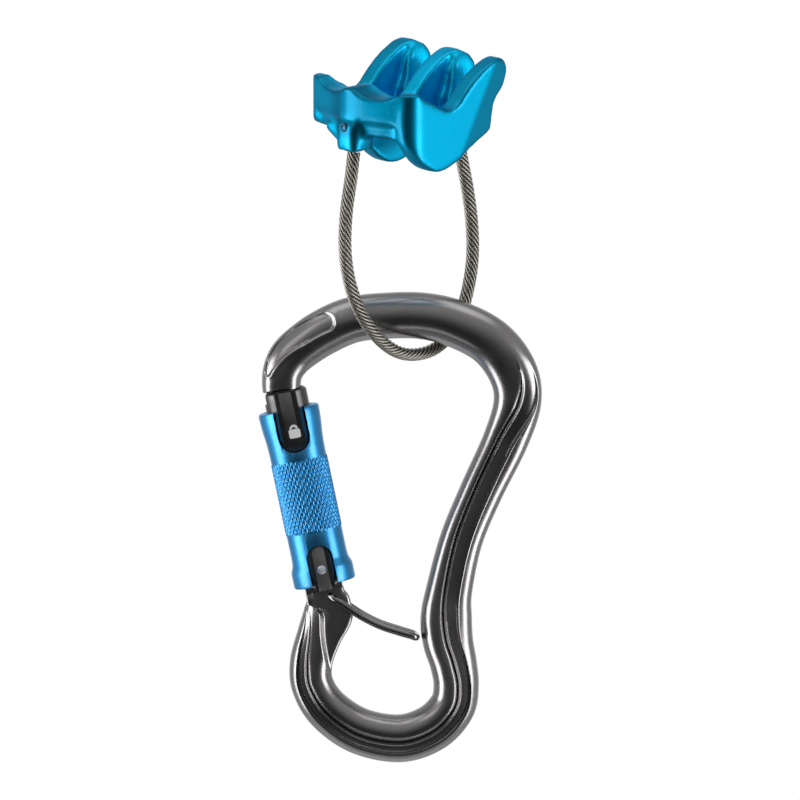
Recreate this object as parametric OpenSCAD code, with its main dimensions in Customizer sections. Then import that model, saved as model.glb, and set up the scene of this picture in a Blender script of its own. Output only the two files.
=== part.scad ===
// Belay set in the pose of the photo: a two-slot tubular belay device is held at the top,
// its keeper cable carries a pear-shaped locking carabiner that hangs below.
// Millimetres. X to the right, Y away from the viewer, Z up.
// The origin is the middle of the belay device, level with the lower mouths of its rope slots.

/* [Belay device] */
// turn of the device about the vertical
device_turn = 45; // [30:60]
// lean of the device's top towards the viewer
device_lean = 10; // [0:15]
// distance between the middle planes of two neighbouring plates
plate_pitch = 15.5; // [15:0.1:17.5]
// thickness of a plate
plate_thick = 5; // [4:0.1:5.5]
// height of the three tall fins above the lower mouths
fin_height = 19.6; // [18:0.1:22]
// distance of the brake side wall from the middle
brake_wall = 13; // [12.5:0.1:14]
// radius of the scoops that the rope runs over
scoop_radius = 8.5; // [7:0.1:10]
// radius of the bosses that hold the cable's ends
boss_radius = 3.7; // [3.5:0.1:4.2]

/* [Keeper cable] */
// cable diameter with its clear coat
cable_d = 3.3; // [3:0.1:3.6]
// outer diameter of the crimped end ferrules
ferrule_d = 4.8; // [4.5:0.1:5.2]
// diameter of the cross pins that lock the ferrules
lock_pin_d = 2.4; // [2:0.1:2.6]

/* [Carabiner frame] */
// depth of the round bar at the large bow
bow_depth = 11.2; // [10:0.1:11.5]
// depth of the bar on the spine
spine_depth = 9.6; // [8.5:0.1:10.5]
// depth of the recess on each face of the spine
spine_recess = 1.6; // [0.8:0.1:2]
// thickness of the hinge tang
tang_thick = 5; // [4.5:0.1:5.2]

/* [Gate] */
// gate barrel diameter
gate_d = 11; // [10.8:0.1:11.2]
// distance between the two flats of the barrel
gate_flats = 9.8; // [9.4:0.1:10]
// distance from the hinge to the top of the gate
gate_length = 46; // [45.7:0.1:46.2]
// lean of the gate from the vertical
gate_lean = 11.9; // [11.5:0.1:12.3]
// hinge rivet diameter
rivet_d = 3; // [2.8:0.1:3.2]
// plunger diameter
plunger_d = 4.3; // [4:0.1:4.4]

/* [Locking sleeve] */
// bore of the sleeve
sleeve_bore = 11.8; // [11.7:0.1:12]
// diameter over the knurl
knurl_d = 14.4; // [14.2:0.1:14.8]
// diameter of the flared top end
top_flare_d = 15.4; // [15:0.1:15.8]
// diameter of the flared bottom end
bottom_flare_d = 15.6; // [15.2:0.1:15.9]
// width of the top windows
top_window = 8; // [7:0.1:8.6]
// width of the bottom windows
bottom_window = 6.5; // [6:0.1:7]

/* [Keeper wire] */
// wire diameter
wire_d = 1.8; // [1.6:0.1:2]
// distance between the middles of the two legs
wire_span = 8.8; // [8.7:0.1:9.2]

/* [Hidden] */
$fn = 64;
// bar centre of the large bow where the cable carries it
hang = [3, 12, -46.7];
// a longer gate moves its hinge, the small bow and the wire down along the gate's line
longer = (gate_length - 46) * [sin(gate_lean), 0, -cos(gate_lean)];
// hinge of the gate and pivot of the keeper wire, from the hang point
hinge = [-24.9, 0, -62.9] + longer;
wire_pivot = [-22.6, 0, -69.6] + longer;
half_gate = gate_d / 2;
// heights on the gate, from its hinge: floor of the key slot, top of the sleeve, guide pin, ends of the waist
key_floor = gate_length - 3;
sleeve_top = gate_length - 5;
guide_z = gate_length / 3.08;
waist = [0.458, 0.619] * gate_length;
spring_top = 0.622 * gate_length;
guide_d = 2;
spring_wire = 0.35;
// heights on the sleeve: ends of the knurl and foot of the top windows, and the radius of its plain bands
knurl = [0.209, 0.609] * gate_length;
window_foot = sleeve_top - 10.9;
plain_r = knurl_d / 2 - 0.2;
// plunger from its round nose to its top
plunger_from = tang_thick + 0.7;
plunger_to = plunger_from + 1.8 * plunger_d;
// half length of the rope slots towards the two sides
front_in = -13.5;
brake_in = 8;
// width of a rope slot, and half the width of the device
slot_width = plate_pitch - plate_thick;
half_width = plate_pitch + plate_thick / 2;
// corners of the front wall: side, radius and where the centre lies
corners = [[-1, 5, -13.8], [1, 1.6, -15.4]];
front_exit = -19.5;
back_exit = 16.5;
boss_foot = -1.3;
exit_z = -1.6;

// smooth curve through hand-chosen points
function cr(a, b, c, d, t) = 0.5 * (2 * b + (c - a) * t + (2 * a - 5 * b + 4 * c - d) * t * t
                                    + (3 * b - a - 3 * c + d) * t * t * t);
function at(p, i) = p[max(0, min(len(p) - 1, i))];
function curve(p, n) = [for (i = [0 : len(p) - 2], k = [0 : n - 1])
                        cr(at(p, i - 1), p[i], p[i + 1], at(p, i + 2), k / n), p[len(p) - 1]];
function wrap(p, i) = p[(i + len(p)) % len(p)];
function loop(p, n) = [for (i = [0 : len(p) - 1], k = [0 : n - 1])
                       cr(wrap(p, i - 1), p[i], wrap(p, i + 1), wrap(p, i + 2), k / n)];
function unit(v) = v / norm(v);

// skin over rings that all have m points, with fans over both ends
function middle(r) = [for (k = [0 : 2]) (r[0][k] + r[len(r) / 2][k]) / 2];
module skin(rings, m) {
    n = len(rings);
    polyhedron(points = concat([for (r = rings, p = r) p], [middle(rings[0]), middle(rings[n - 1])]),
               faces = [for (k = [0 : m - 1]) let (j = (k + 1) % m) each concat(
                   [[n * m, j, k], [n * m + 1, (n - 1) * m + k, (n - 1) * m + j]],
                   [for (i = [0 : n - 2]) each [[i * m + k, i * m + j, (i + 1) * m + k],
                                                [i * m + j, (i + 1) * m + j, (i + 1) * m + k]]])],
               convexity = 8);
}

// coil spring about Z
module coil(r, wire_r, z0, z1, turns) {
    n = turns * 14;
    skin([for (i = [0 : n]) let (a = 360 * turns * i / n, z = z0 + (z1 - z0) * i / n)
          [for (k = [0 : 5]) let (q = r + wire_r * cos(-60 * k))
           [q * cos(a), q * sin(a), z + wire_r * sin(-60 * k)]]], 6);
}

module place_device() rotate([device_lean, 0, 0]) rotate([0, 0, device_turn]) children();
module place_carabiner() translate(hang) children();
module place_gate() place_carabiner() translate(hinge) rotate([0, -gate_lean, 0]) children();

// side outline of a plate: low hump on the front side, valley, tall fin and brake side, then its lower edge
upper_edge = [[-17, 15.2], [-14.8, 16], [-10.5, 12.6], [-4.7, 9.5], [-1, 10], [2, 12.8], [5, 15.4],
              [8.7, 17.8], [12, fin_height - 0.4], [14.8, fin_height], [16.9, fin_height - 1.2], [17.9, 16.2],
              [17.6, 14], [16.4, 11.4], [14.4, 9.6], [brake_wall + 0.2, 7.5], [brake_wall, 4],
              [brake_wall - 0.4, 1.2], [9, -0.2]];
// the middle and the near plate have a deep lobe, the far one a flatter foot
deep_edge = [[4, -2], [-0.5, -4.2], [-4.5, -5.7], [-8, -5.9], [-11.5, -4.6], [-14.8, -1.9], [-17.4, 1.8],
             [-18, 5], [-18, 10]];
flat_edge = [[4, -1.6], [-0.5, -2.2], [-4.5, -1], [-8, 1.4], [-11.5, 2.6], [-15, 2.8], [-17.2, 3.6],
             [-17.6, 6], [-17.6, 10]];

module plate(y, lower) translate([0, y + plate_thick / 2, 0]) rotate([90, 0, 0])
    linear_extrude(plate_thick) polygon(loop(concat(upper_edge, lower), 3));

// plan of the front wall that joins the plates, bulging to its middle
module front_plan(back) polygon(concat(
    curve([[-16.8 + back, -half_width + back / 2], [-20.3 + back, -plate_pitch / 2], [-22 + back, 0],
           [-20.3 + back, plate_pitch / 2], [-16.8 + back, half_width - back / 2]], 5),
    [[front_in, half_width - back / 2], [front_in, -half_width + back / 2]]));

// brake wall seen from the side, as high as the fins and with an overhanging lip
module brake_side() polygon([[brake_in, 0.6], [brake_wall - 0.4, 1.2], [brake_wall, 4], [brake_wall + 0.2, 7.5],
    [14.6, 9.4], [17, 11], [18.6, 13.6], [18.8, 16.2], [17.6, 18.4], [15, fin_height - 0.8],
    [12.6, fin_height - 1.4], [11, 15.5], [9.6, 11], [brake_in, 8]]);

module belay_body() color([0, 0.6, 0.85]) place_device() difference() {
    union() {
        plate(-plate_pitch, deep_edge);
        plate(0, deep_edge);
        plate(plate_pitch, flat_edge);
        // front wall: bulging upper band over a narrower foot
        translate([0, 0, 6.6]) linear_extrude(9.6) front_plan(0);
        translate([0, 0, 2.6]) linear_extrude(5) front_plan(1);
        // brake wall between the fins
        translate([0, plate_pitch, 0]) rotate([90, 0, 0]) linear_extrude(2 * plate_pitch) brake_side();
        // bosses for the cable's ends, the back one on a short foot, the front one square with a gusset
        intersection() {
            translate([front_exit - boss_radius, -boss_radius, boss_foot])
                cube([2 * boss_radius, 2 * boss_radius, 7.6]);
            translate([front_exit, 0, boss_foot - 1]) cylinder(h = 10, r = 1.2 * boss_radius);
        }
        translate([back_exit, 0, boss_foot]) cylinder(h = 9, r = boss_radius);
        translate([brake_wall - 2, -2.5, boss_foot + 2]) cube([4, 5, 6.5]);
        translate([front_exit - 1, 0, 0]) rotate([90, 0, 90]) linear_extrude(4)
            polygon([[0, boss_foot], [3, boss_foot], [9.5, 2.7], [9.5, 5], [0, 5]]);
    }
    for (i = [-0.5, 0.5]) {
        // rope scoops in the front wall
        translate([-30, i * plate_pitch, 13.3 + scoop_radius]) rotate([0, 90, 0])
            cylinder(h = 16.6, r = scoop_radius);
        // braking V between the fins
        translate([brake_in - 1, i * plate_pitch, 0]) rotate([90, 0, 90]) linear_extrude(14)
            polygon([[-1.4, 4.5], [1.4, 4.5], [2.5, 12.5], [3.4, 16.5], [slot_width / 2, 20.5],
                     [-slot_width / 2, 20.5], [-3.4, 16.5], [-2.5, 12.5]]);
        // rope slots
        translate([front_in, i * plate_pitch - slot_width / 2, -8]) cube([brake_in - front_in, slot_width, 30]);
    }
    for (s = [-1, 1]) {
        // outer plates turned in towards the brake side, along a slanting line
        translate([2.2, s * half_width, 0]) rotate([0, 29, 0]) rotate([0, 0, -s * 14])
            translate([0, s < 0 ? -8 : 0, -30]) cube([40, 8, 70]);
    }
    // round corners of the front wall, the near one larger
    for (c = corners) translate([0, c.x * (half_width - c.y), 0]) difference() {
        translate([-30, c.x < 0 ? -9 : 0, -10]) cube([30 + c.z, 9, 40]);
        translate([c.z, 0, -11]) cylinder(h = 42, r = c.y);
    }
    // ferrule seats and cross holes
    for (x = [front_exit, back_exit]) translate([x, 0, boss_foot - 1]) cylinder(h = 8.3, d = ferrule_d);
    translate([front_exit - 6, 0, 5.1]) rotate([0, 90, 0]) cylinder(h = 6, d = lock_pin_d);
    translate([back_exit, 0, 5.1]) rotate([0, 90, 0]) cylinder(h = 6, d = lock_pin_d);
}

module ferrule(x) color([0.7, 0.7, 0.68]) place_device() difference() {
    translate([x, 0, exit_z + 0.5]) cylinder(h = 7.3 + boss_foot - 1 - exit_z + 0.5, d = ferrule_d);
    translate([x, 0, 5.1]) rotate([0, 90, 0]) cylinder(h = 12, d = lock_pin_d, center = true);
}
module cable_ferrule_front() ferrule(front_exit);
module cable_ferrule_back() ferrule(back_exit);

module cable_pin_front() color([0.45, 0.5, 0.55]) place_device()
    translate([front_exit - 3.3, 0, 5.1]) rotate([0, 90, 0]) cylinder(h = 5.7, d = lock_pin_d);
module cable_pin_back() color([0.45, 0.5, 0.55]) place_device()
    translate([back_exit - 2.4, 0, 5.1]) rotate([0, 90, 0]) cylinder(h = 5.7, d = lock_pin_d);

// route of the keeper cable in its own plane: along the device, then up
cable_route = [[front_exit, exit_z], [-20.5, -8], [-22.2, -17], [-22.6, -26], [-21.2, -34], [-18.3, -41],
               [-14.2, -47.1], [-9.2, -52.1], [-3.5, -55.6], [2.8, -57.1], [9.3, -56.6], [14.9, -53.5],
               [18.9, -48], [21.4, -41], [22.4, -34], [22, -26], [20.6, -18], [18.5, -9.5], [back_exit, exit_z]];

module keeper_cable() color([0.4, 0.39, 0.36]) place_device() {
    c = curve(cable_route, 2);
    n = len(c);
    skin([for (i = [0 : n - 1])
          let (t = i == 0 ? [0, -1] : i == n - 1 ? [0, 1] : unit(c[i + 1] - c[i - 1]))
          [for (k = [0 : 7]) let (a = 45 * k + 22.5, q = cable_d / 2 * cos(a))
           [c[i].x - q * t.y, cable_d / 2 * sin(a), c[i].y + q * t.x]]], 8);
}

// stations of the frame from the nose round both bows to the hinge arm: across, up, width, depth, squareness,
// then a channel's middle, half width and depth, and the share below which the bar is only a thin plate
stations = [[-34.42, -17.52, 11, 10, 2.6, 0.3, 0.2, 0, -1.4], [-34.5, -14, 10.6, 10.4, 2.4, 0.3, 0.2, 0, -1.4],
            [-33.2, -10.6, 10.8, 10.6, 2.2, 0.3, 0.2, 0, -1.4], [-30.2, -7.6, 11.2, 10.8, 2, 0.3, 0.2, 0, -1.4],
            [-24.4, -3.7, 11.6, 11, 2, 0.3, 0.2, 0, -1.4], [-17.2, -0.6, 11.6, bow_depth, 2, 0.3, 0.2, 0, -1.4],
            [-9, 0.4, 11.6, bow_depth, 2, 0.4, 0.2, 0, -1.4], [0, 0.4, 11.7, bow_depth, 2, 0.5, 0.2, 0, -1.4],
            [8, -1.4, 12, bow_depth, 2, 0.6, 0.2, 0, -1.4], [17, -6, 12.2, 11, 2.1, 0.62, 0.2, 0, -1.4],
            [22.6, -13.2, 12.4, 10.6, 2.3, 0.58, 0.26, 0.1, -1.4], [24, -21, 12, 10.2, 2.5, 0.44, 0.4, 0.9, -1.4],
            [21, -30.8, 11.4, spine_depth, 2.7, 0.06, 0.38, spine_recess - 0.1, -1.4],
            [15, -43.5, 10.8, spine_depth, 2.7, 0.05, 0.39, spine_recess, -1.4],
            [10, -55.6, 10.8, spine_depth, 2.7, 0.1, 0.38, spine_recess, -1.4],
            [7, -68, 11.6, spine_depth, 2.7, 0.15, 0.34, spine_recess - 0.1, -1.4],
            [6.2, -75, 12.9, 10, 2.6, 0.2, 0.31, 1.3, -1.4], [6.6, -81, 12.7, 10.2, 2.5, 0.25, 0.3, 1.2, -1.4],
            [8, -86.8, 11.8, 10.5, 2.4, 0.32, 0.3, 1.2, -1.4],
            [8.7, -92.4, 11.4, 10.6, 2.4, 0.38, 0.29, 1.2, -1.4],
            [7.6, -97.8, 11.6, 10.6, 2.4, 0.4, 0.29, 1.2, -1.4],
            [2.6, -103, 11.9, 10.6, 2.4, 0.41, 0.29, 1.2, -1.4],
            [-5.4, -105.6, 12, 10.6, 2.4, 0.41, 0.29, 1.2, -1.4],
            [-15.4, -103.8, 11.7, 10.6, 2.4, 0.41, 0.29, 1.2, -1.4],
            [-23.2, -98.6, 11.2, 10.6, 2.4, 0.41, 0.29, 1.2, -1.4],
            [-27.2, -92.4, 10.7, 10.4, 2.4, 0.42, 0.28, 1.1, -1.2],
            [-27.6, -86.4, 10.7, 10.2, 2.4, 0.44, 0.25, 1, -0.75],
            [-25.6, -79.8, 11.2, 9.8, 2.5, 0.6, 0.17, 0.9, -0.12],
            [-23.4, -74.6, 11.2, 9, 2.8, 0.84, 0.08, 0.7, 0.42], [-23, -71, 10.8, 6.4, 4, 0.84, 0.08, 0, 1.3],
            [-23.6, -68.3, 8.4, 6, 5, 0.84, 0.08, 0, 1.4]];

function sg(v, p) = sign(v) * pow(abs(v), p);
function ease(t) = let (c = max(0, min(1, t))) c * c * (3 - 2 * c);
// steps across one face: outer part, channel's wall, floor and wall, inner part, step to the plate, plate
zones = [3, 2, 2, 2, 4, 1, 2];
// half the thickness of the thin plate
arm_half = 3;
function section(s) =
    let (w = s[2], q = s[4], mid = s[5], half = s[6], thin = s[8],
         inner = min(max(thin + 0.3, -0.8), mid - half - 0.05),
         marks = [1, mid + half, mid + 0.58 * half, mid - 0.58 * half, mid - half, inner,
                  min(max(thin, -0.92), inner - 0.06), -1],
         turns = [for (x = marks) acos(sg(x, q / 2))],
         angles = [for (i = [0 : 6], k = [0 : zones[i] - 1]) turns[i] + (turns[i + 1] - turns[i]) * k / zones[i]],
         front = [for (i = [1 : len(angles) - 1])
                  let (x = sg(cos(angles[i]), 2 / q), bend = (2 * x + 1 - mid + half) / (1 + mid - half),
                       fall = 0.25 * min(1, s[7] / 1.2) * (1 - sqrt(max(0, 1 - min(1, bend * bend)))),
                       y = s[3] / 2 * pow(abs(sin(angles[i])), 2 / q) * (x < mid - half + 0.001 ? 1 - fall : 1),
                       cut = s[7] * ease((1 - abs(x - mid) / half) / 0.42) * min(1, y / 2))
                  [w / 2 * x, min(y - cut, arm_half + 4 * ease((x - thin) / 0.3))]])
    concat([[w / 2, 0]], front, [[-w / 2, 0]], [for (i = [len(front) - 1 : -1 : 0]) [front[i].x, -front[i].y]]);

// the spine takes up what a longer gate needs
function share(v) = max(0, min(1, (-20 - v) / 48));
function moved(s) = concat([s[0] + longer.x * share(s[1]), s[1] + longer.z * share(s[1])],
                           [for (k = [2 : 8]) s[k]]);

module frame_bar() {
    c = curve([for (s = stations) moved(s)], 4);
    n = len(c);
    m = len(section(c[0]));
    down = [sin(gate_lean), -cos(gate_lean)];
    skin([for (i = [0 : n - 1])
          let (d = at(c, i + 1) - at(c, i - 1),
               t = i == 0 ? -down : i == n - 1 ? [-0.2, 0.98] : unit([d.x, d.y]))
          [for (q = section(c[i])) [c[i].x - q.x * t.y, q.y, c[i].y + q.x * t.x]]], m);
}

module carabiner_frame() color([0.33, 0.32, 0.33]) {
    difference() {
        union() {
            place_carabiner() frame_bar();
            place_gate() {
                // tang with the cam that drives the plunger
                rotate([90, 0, 0]) cylinder(h = tang_thick, r = 5, center = true);
                translate([2.13, 0, 4.19]) rotate([90, 0, 0]) cylinder(h = tang_thick, r = 1.6, center = true);
                translate([-4.2, -tang_thick / 2, -7.5]) cube([8.4, tang_thick, 7.5]);
                // key of the nose
                translate([-3.5, -2, key_floor + 0.5]) cube([6, 4, 4]);
            }
        }
        place_gate() rotate([90, 0, 0]) cylinder(h = 20, d = rivet_d, center = true);
        place_carabiner() translate(wire_pivot) rotate([90, 0, 0])
            cylinder(h = 20, d = wire_d + 0.14, center = true);
    }
}

module hinge_rivet() color([0.8, 0.8, 0.8]) place_gate() rotate([90, 0, 0]) rotate_extrude()
    polygon([[0, -gate_flats / 2 - 0.5], [rivet_d / 4, -gate_flats / 2 - 0.4],
             [rivet_d / 2 - 0.2, -gate_flats / 2],
             [rivet_d / 2, 0.3 - gate_flats / 2], [rivet_d / 2, gate_flats / 2 - 0.3],
             [rivet_d / 2 - 0.2, gate_flats / 2], [rivet_d / 4, gate_flats / 2 + 0.4],
             [0, gate_flats / 2 + 0.5]]);

module gate_barrel() color([0.15, 0.15, 0.15]) place_gate() difference() {
    intersection() {
        rotate_extrude() polygon([[0, -6], [half_gate, -6], [half_gate, waist[0] - 0.5],
                                  [half_gate - 1.2, waist[0]],
                                  [half_gate - 1.2, waist[1]], [half_gate, waist[1] + 0.6],
                                  [half_gate, gate_length - 0.8], [half_gate - 0.8, gate_length],
                                  [0, gate_length]]);
        translate([-9, -gate_flats / 2, -9]) cube([18, gate_flats, 60]);
        union() {
            rotate([90, 0, 0]) cylinder(h = 20, r = 5, center = true);
            translate([-9, -9, 0]) cube([18, 18, 60]);
        }
    }
    // fork for the tang, plunger bore, rivet hole, key slot and pin hole
    translate([-9, -tang_thick / 2 - 0.3, -9]) cube([18, tang_thick + 0.6, 16.6]);
    translate([0, 0, 7]) cylinder(h = spring_top - 5.6, d = plunger_d + 0.1);
    rotate([90, 0, 0]) cylinder(h = 20, d = rivet_d + 0.1, center = true);
    translate([-9, -2.4, key_floor]) cube([12, 4.8, 9]);
    translate([0, 0, guide_z]) rotate([-90, 0, 0]) cylinder(h = 9, d = guide_d);
}

module sleeve_guide_pin() color([0.7, 0.7, 0.7]) place_gate()
    translate([0, half_gate - 2.9, guide_z]) rotate([-90, 0, 0]) cylinder(h = 3.6, d = guide_d);

module gate_spring() color([0.6, 0.6, 0.6]) place_gate() 
    coil(plunger_d / 2 - 0.55, spring_wire, plunger_to + 0.6, spring_top, 8);

module sleeve_spring() color([0.6, 0.6, 0.6]) place_gate() 
    coil(half_gate - 0.45, spring_wire, waist[0] + 0.6, waist[1] - 0.6, 6);

module gate_plunger() color([0.75, 0.65, 0.35]) place_gate() {
    translate([0, 0, plunger_from + plunger_d / 2]) {
        cylinder(h = plunger_to - plunger_from - plunger_d / 2, d = plunger_d);
        sphere(d = plunger_d);
    }
}

module locking_sleeve() color([0.1, 0.5, 0.85]) place_gate() difference() {
    rotate_extrude() polygon([[sleeve_bore / 2, -1.2], [sleeve_bore / 2 + 1.25, -3.9],
                              [bottom_flare_d / 2 - 0.3, -3.9],
                              [bottom_flare_d / 2, -3.5], [bottom_flare_d / 2, 0],
                              [plain_r + 0.1, 2], [plain_r, knurl[0] - 0.3],
                              [knurl_d / 2, knurl[0]], [knurl_d / 2, knurl[1]], [plain_r, knurl[1] + 0.3],
                              [plain_r, sleeve_top - 8], [top_flare_d / 2, sleeve_top - 4.8],
                              [top_flare_d / 2, sleeve_top - 0.5], [top_flare_d / 2 - 0.4, sleeve_top],
                              [sleeve_bore / 2 + 0.4, sleeve_top], [sleeve_bore / 2, sleeve_top - 0.4]]);
    // windows front and back at both ends
    rotate([0, 0, 6]) {
        translate([0, 0, window_foot + top_window / 2]) rotate([90, 0, 0])
            cylinder(h = 20, d = top_window, center = true);
        translate([-top_window / 2, -10, window_foot + top_window / 2]) cube([top_window, 20, 20]);
        translate([0, 0, 6.3 - bottom_window / 2]) rotate([90, 0, 0])
            cylinder(h = 20, d = bottom_window, center = true);
        translate([-bottom_window / 2, -10, -13.7 - bottom_window / 2]) cube([bottom_window, 20, 20]);
    }
    // inner track of the guide pin
    rotate([0, 0, -12]) rotate_extrude(angle = 114)
        translate([sleeve_bore / 2 - 0.3, guide_z - 1.4]) square([0.95, guide_d + 0.8]);
}

// middle line of a leg of the keeper wire, from its pivot to the tip
wire_leg = [[-22.6, -69.6], [-21.4, -70.5], [-19.2, -71.9], [-15, -74.7], [-10.4, -77], [-5.6, -78.6],
            [-2.6, -79.5], [-1.4, -80]];
// how far out of the frame's plane each point of a leg lies, as a share of half the span
wire_out = [0.8, 0.96, 1, 1, 1, 1, 0.9, 0.6];

module keeper_wire() color([0.5, 0.5, 0.5]) place_carabiner() {
    h = wire_span / 2;
    leg = [for (i = [0 : 7]) [wire_leg[i].x + longer.x, -h * wire_out[i], wire_leg[i].y + longer.z]];
    half = concat([for (y = [-1, -2.6]) [wire_pivot.x, y, wire_pivot.z]], leg);
    path = curve(concat(half, [for (i = [9 : -1 : 0]) [half[i].x, -half[i].y, half[i].z]]), 2);
    n = len(path);
    up = unit([0.44, 0, 0.9]);
    skin([for (i = [0 : n - 1])
          let (t = i == 0 || i == n - 1 ? [0, -1, 0] : unit(path[i + 1] - path[i - 1]),
               a = unit(up - (up * t) * t), b = cross(t, a))
          [for (k = [0 : 9]) path[i] + wire_d / 2 * (cos(36 * k) * a + sin(36 * k) * b)]], 10);
}

belay_body();
cable_ferrule_front();
cable_ferrule_back();
cable_pin_front();
cable_pin_back();
keeper_cable();
carabiner_frame();
hinge_rivet();
gate_barrel();
sleeve_guide_pin();
gate_spring();
sleeve_spring();
gate_plunger();
locking_sleeve();
keeper_wire();
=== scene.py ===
"""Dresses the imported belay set: a blue belay device, its keeper cable and a dark locking carabiner."""

import logging
import math
from dataclasses import dataclass, field
from enum import Enum
from typing import Sequence

import bmesh
import bpy
from bmesh.types import BMEdge, BMesh, BMFace, BMVert
from bpy.types import ID, Material, Mesh, Node, NodeSocket, NodeTree, Object, ShaderNodeTree
from mathutils import Matrix, Vector


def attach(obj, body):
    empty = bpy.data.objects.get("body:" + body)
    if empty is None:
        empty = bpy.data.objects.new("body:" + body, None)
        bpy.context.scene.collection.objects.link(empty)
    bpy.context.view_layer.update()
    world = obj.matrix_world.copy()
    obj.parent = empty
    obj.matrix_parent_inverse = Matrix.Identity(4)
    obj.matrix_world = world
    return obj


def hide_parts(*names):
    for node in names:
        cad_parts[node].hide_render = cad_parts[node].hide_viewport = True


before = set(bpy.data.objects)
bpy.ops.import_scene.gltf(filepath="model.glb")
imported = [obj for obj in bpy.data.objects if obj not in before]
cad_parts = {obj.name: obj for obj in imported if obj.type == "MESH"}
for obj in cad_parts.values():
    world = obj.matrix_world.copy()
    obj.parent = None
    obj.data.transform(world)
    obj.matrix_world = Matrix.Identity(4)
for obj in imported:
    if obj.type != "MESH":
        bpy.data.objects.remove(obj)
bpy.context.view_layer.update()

LOG = logging.getLogger("belay_set")
MM = Matrix.Scale(0.001, 4)
HANG = Vector((3.0, 12.0, -46.7))
HINGE = HANG + Vector((-24.9, 0.0, -62.9))
GATE_LEAN = math.radians(11.9)
DEVICE = MM @ Matrix.Rotation(math.radians(10), 4, "X") @ Matrix.Rotation(math.radians(45), 4, "Z")
CARABINER = MM @ Matrix.Translation(HANG)
GATE = MM @ Matrix.Translation(HINGE) @ Matrix.Rotation(-GATE_LEAN, 4, "Y")
ACROSS = Matrix.Rotation(math.pi / 2, 4, "X")
# Name of the stored mix between a finish's painted light tone and its own tone; the mix paints shade and
# light.
PAINTED_LIGHT_MIX = "ridge"
Row = Sequence[float]
Pair = tuple[float, float]
Point = tuple[float, float, float]


def through(rows: Sequence[Row], steps: int) -> list[tuple[float, ...]]:
    """Lays a smooth curve through rows of numbers.

    Args:
        rows: The rows that the curve passes through.
        steps: How many points each span gets.

    Returns:
        The rows of the curve, ends included.
    """
    last = len(rows) - 1
    made = []
    for i in range(last):
        a, b, c, d = (rows[min(last, max(0, k))] for k in (i - 1, i, i + 1, i + 2))
        for t in (k / steps for k in range(steps)):
            made.append(tuple(
                0.5 * (2 * q + (r - p) * t + (2 * p - 5 * q + 4 * r - s) * t * t
                       + (3 * q - p - 3 * r + s) * t ** 3)
                for p, q, r, s in zip(a, b, c, d)))
    return [*made, tuple(rows[last])]


def heading(line: Sequence[Vector], i: int) -> Vector:
    """Gives the way that a line of points takes at one of them."""
    return (line[min(i + 1, len(line) - 1)] - line[max(i - 1, 0)]).normalized()


def ease(value: float) -> float:
    """Turns 0 to 1 into a smooth step, with the ends held."""
    t = min(1.0, max(0.0, value))
    return t * t * (3 - 2 * t)


def linked(name: str, data: ID) -> Object:
    """Puts a new object with the given data into the scene."""
    obj = bpy.data.objects.new(name, data)
    bpy.context.scene.collection.objects.link(obj)
    return obj


def meshed(bm: BMesh, name: str) -> Mesh:
    """Turns a mesh in the making into a mesh, and uses it up."""
    mesh = bpy.data.meshes.new(name)
    bm.to_mesh(mesh)
    bm.free()
    return mesh


def block(bm: BMesh, centre: Point, size: Point) -> list[BMVert]:
    """Adds a box and gives its vertices."""
    place = Matrix.Translation(centre) @ Matrix.Diagonal((*size, 1))
    return bmesh.ops.create_cube(bm, size=1.0, matrix=place)["verts"]


def rod(bm: BMesh, radius: float, length: float, place: Matrix, segments: int = 48) -> None:
    """Adds a round rod along the Z axis of a place."""
    bmesh.ops.create_cone(bm, cap_ends=True, segments=segments, radius1=radius, radius2=radius, depth=length,
                          matrix=place)


def bevelled(bm: BMesh, geom: Sequence[BMEdge | BMVert], offset: float, segments: int = 2,
             affect: str = "EDGES", clamp: bool = False) -> None:
    """Rounds edges or corners over.

    Args:
        bm: The mesh.
        geom: The edges or vertices.
        offset: How far the rounding reaches.
        segments: How many faces it gets.
        affect: Whether edges or vertices are meant.
        clamp: Whether the offset is held where there is no room for it.
    """
    bmesh.ops.bevel(bm, geom=geom, offset=offset, offset_type="OFFSET", segments=segments, profile=0.5,
                    affect=affect, material=-1, clamp_overlap=clamp)


def smoothed(bm: BMesh, verts: Sequence[BMVert]) -> None:
    """Moves vertices half the way to the middle of their neighbours."""
    bmesh.ops.smooth_vert(bm, verts=verts, factor=0.5, use_axis_x=True, use_axis_y=True, use_axis_z=True)


def only_verts(geom: Sequence[BMVert | BMEdge | BMFace]) -> list[BMVert]:
    """Picks the vertices out of what an operator made."""
    return [g for g in geom if isinstance(g, BMVert)]


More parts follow.
